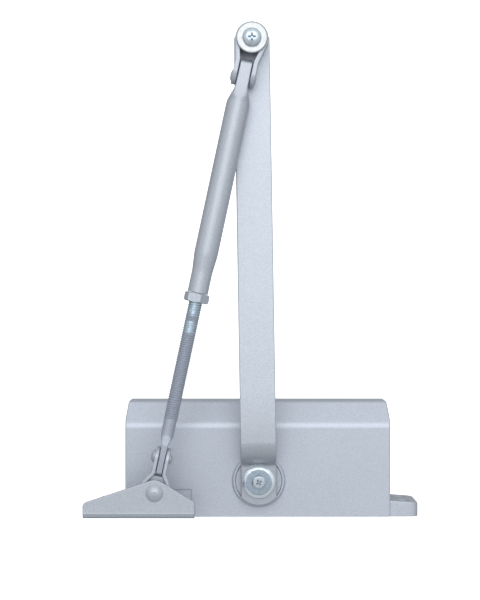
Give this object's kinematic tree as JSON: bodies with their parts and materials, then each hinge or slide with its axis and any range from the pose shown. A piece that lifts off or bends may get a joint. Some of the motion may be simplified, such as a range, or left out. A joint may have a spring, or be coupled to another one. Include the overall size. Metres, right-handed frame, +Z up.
{
  "type": "door closer",
  "caption": "Surface-mounted hydraulic door closer: a chamfered bar-shaped body with mounting ears, a flat main arm and an adjustable forearm that ends in a frame shoe.",
  "frame": {"origin": "on the mounting face that lies on the door, level with the pinion and half-way up the body", "axes": "+X along the body, +Y away from the door, +Z up along the pinion, as the closer hangs"},
  "size_m": [0.1808, 0.2662, 0.0864],
  "materials": {
    "silver_paint": "fine metallic silver paint on die-cast aluminium",
    "arm_paint": "fine metallic silver paint on steel",
    "bright_zinc": "bright zinc plating, slightly blue",
    "dark_steel": "ground steel",
    "spring_steel": "dark spring steel",
    "brass": "turned brass",
    "rubber": "black oil-proof rubber",
    "grey_plastic": "moulded grey plastic"
  },
  "bodies": {
    "housing": {"closer_body": "silver_paint", "upper_retainer": "silver_paint", "lower_retainer": "silver_paint", "upper_bearing": "dark_steel", "lower_bearing": "dark_steel", "upper_seal": "rubber", "lower_seal": "rubber", "spindle_cap": "grey_plastic", "left_end_plug": "silver_paint", "right_end_plug": "silver_paint", "left_plug_ring": "rubber", "right_plug_ring": "rubber", "main_spring": "spring_steel"},
    "sweep_valve": {"sweep_valve": "brass", "sweep_valve_ring": "rubber"},
    "latch_valve": {"latch_valve": "brass", "latch_valve_ring": "rubber"},
    "backcheck_valve": {"backcheck_valve": "brass", "backcheck_valve_ring": "rubber"},
    "piston": {"piston": "dark_steel", "ball_retainer": "spring_steel"},
    "check_ball": {"check_ball": "dark_steel"},
    "main_arm": {"pinion_shaft": "dark_steel", "main_arm": "arm_paint", "arm_washer": "bright_zinc", "arm_screw": "bright_zinc", "knee_stud": "bright_zinc", "knee_washer": "bright_zinc", "knee_screw": "bright_zinc"},
    "knee_yoke": {"knee_yoke": "arm_paint", "knee_bush": "grey_plastic", "knee_rivet": "arm_paint"},
    "forearm": {"forearm_tube": "arm_paint"},
    "lock_nut": {"lock_nut": "arm_paint"},
    "rod": {"threaded_rod": "dark_steel"},
    "shoe_yoke": {"shoe_yoke": "arm_paint", "shoe_bush": "grey_plastic", "shoe_rivet": "arm_paint"},
    "shoe": {"shoe_bracket": "arm_paint", "shoe_pin": "arm_paint"}
  },
  "joints": [
    {"name": "pinion_turn", "type": "hinge", "parent": "housing", "child": "main_arm", "pos_m": [0, 0.02, 0], "axis": [0, 0, 1], "range_deg": [0, 180], "stiffness_Nm_per_rad": 3, "springref_deg": -28.65},
    {"name": "piston_slide", "type": "slide", "parent": "housing", "child": "piston", "axis": [-1, 0, 0], "range_m": [0, 0.0237], "deforming": ["main_spring"]},
    {"name": "check_ball_lift", "type": "slide", "parent": "piston", "child": "check_ball", "axis": [-1, 0, 0], "range_m": [0, 0.0025]},
    {"name": "sweep_valve_turn", "type": "hinge", "parent": "housing", "child": "sweep_valve", "pos_m": [0.072, 0.015, 0.009], "axis": [1, 0, 0], "range_deg": [0, 360]},
    {"name": "latch_valve_turn", "type": "hinge", "parent": "housing", "child": "latch_valve", "pos_m": [0.072, 0.015, -0.009], "axis": [1, 0, 0], "range_deg": [0, 360]},
    {"name": "backcheck_valve_turn", "type": "hinge", "parent": "housing", "child": "backcheck_valve", "pos_m": [-0.073, 0.015, 0], "axis": [-1, 0, 0], "range_deg": [0, 360]},
    {"name": "knee_turn", "type": "hinge", "parent": "main_arm", "child": "knee_yoke", "pos_m": [-0.0039, 0.2573, 0.0463], "axis": [0, 0, 1], "range_deg": [-165, 4]},
    {"name": "knee_tilt", "type": "hinge", "parent": "knee_yoke", "child": "forearm", "pos_m": [-0.00825, 0.23696, 0.0463], "axis": [-0.9779, 0.2092, 0], "range_deg": [-0.8, 6]},
    {"name": "lock_nut_back_off", "type": "slide", "parent": "forearm", "child": "lock_nut", "axis": [-0.2092, -0.9779, 0], "range_m": [0, 0.015]},
    {"name": "rod_adjust", "type": "slide", "parent": "forearm", "child": "rod", "axis": [-0.2092, -0.9779, 0], "range_m": [-0.03, 0.025]},
    {"name": "shoe_tilt", "type": "hinge", "parent": "rod", "child": "shoe_yoke", "pos_m": [-0.05152, 0.03474, 0.0463], "axis": [-0.9779, 0.2092, 0], "range_deg": [-10, 10]},
    {"name": "shoe_turn", "type": "hinge", "parent": "shoe_yoke", "child": "shoe", "pos_m": [-0.0554, 0.0166, 0.0463], "axis": [0, 0, 1], "range_deg": [-75, 75]}
  ],
  "couplings": [
    {"joint": "piston_slide", "follows": "pinion_turn", "m_per_rad": 0.0075}
  ]
}
